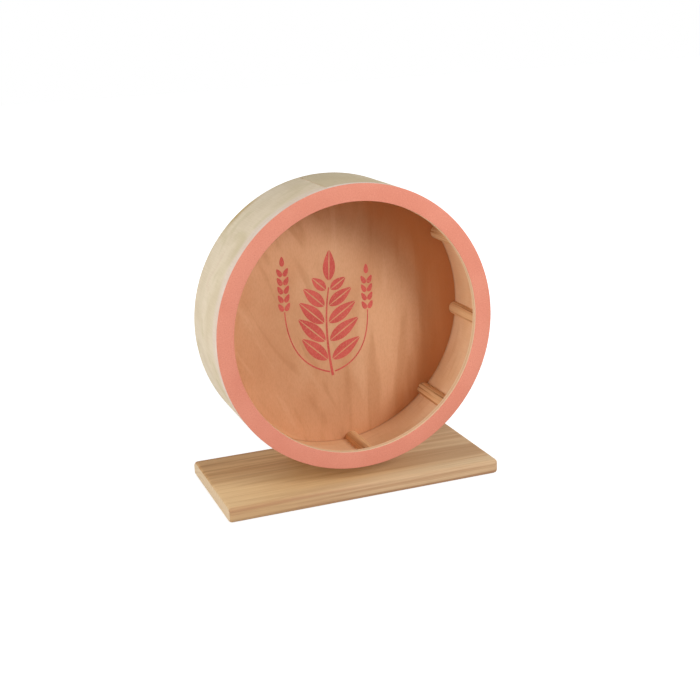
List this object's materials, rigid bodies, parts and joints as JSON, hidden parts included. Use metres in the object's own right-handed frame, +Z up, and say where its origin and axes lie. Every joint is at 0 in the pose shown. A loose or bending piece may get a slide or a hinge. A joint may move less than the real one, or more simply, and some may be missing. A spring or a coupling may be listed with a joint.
{
  "type": "rodent exercise wheel",
  "caption": "Wooden exercise wheel for small rodents: an open drum with half-round rungs that turns in ball bearings on an upright behind it, on a flat board base.",
  "frame": {"origin": "centre of the base board's underside, on the surface that the wheel stands on", "axes": "+Z is up. The wheel turns about an axis along +Y, with the upright on its +Y side and its open side facing -Y. +X is to the right, seen from the open side."},
  "size_m": [0.204, 0.1, 0.2216],
  "materials": {
    "base_wood": "planed and sanded softwood board, unvarnished, grain along the width",
    "poplar_plywood": "sanded plywood with wavy grain, unvarnished",
    "pale_plywood": "thin bending plywood, pale and fine-grained outside, unvarnished",
    "coral_paint": "matt coral paint on the front face, bare ply edges",
    "rung_wood": "sanded half-round moulding, unvarnished",
    "zinc_steel": "bright zinc-plated steel",
    "bearing_steel": "ground and polished bearing steel",
    "nylon": "natural nylon"
  },
  "bodies": {
    "stand": {"base_board": "base_wood", "upright": "base_wood", "upright_screws": "zinc_steel", "front_bearing_outer_ring": "bearing_steel", "rear_bearing_outer_ring": "bearing_steel"},
    "wheel": {"front_ring": "coral_paint", "drum_wall": "pale_plywood", "back_disc": "poplar_plywood", "rung_1": "rung_wood", "rung_2": "rung_wood", "rung_3": "rung_wood", "rung_4": "rung_wood", "rung_5": "rung_wood", "rung_6": "rung_wood", "rung_7": "rung_wood", "rung_8": "rung_wood", "rung_9": "rung_wood", "hub_plate": "poplar_plywood", "axle_bolt": "zinc_steel", "hub_spacer": "zinc_steel", "front_bearing_inner_ring": "bearing_steel", "bearing_sleeve": "zinc_steel", "rear_bearing_inner_ring": "bearing_steel", "rear_washer": "zinc_steel", "lock_nut": "zinc_steel", "lock_nut_insert": "nylon"}
  },
  "joints": [
    {"name": "wheel_spin", "type": "hinge", "parent": "stand", "child": "wheel", "pos_m": [0, 0.0331, 0.1216], "axis": [0, 1, 0], "continuous": true}
  ]
}
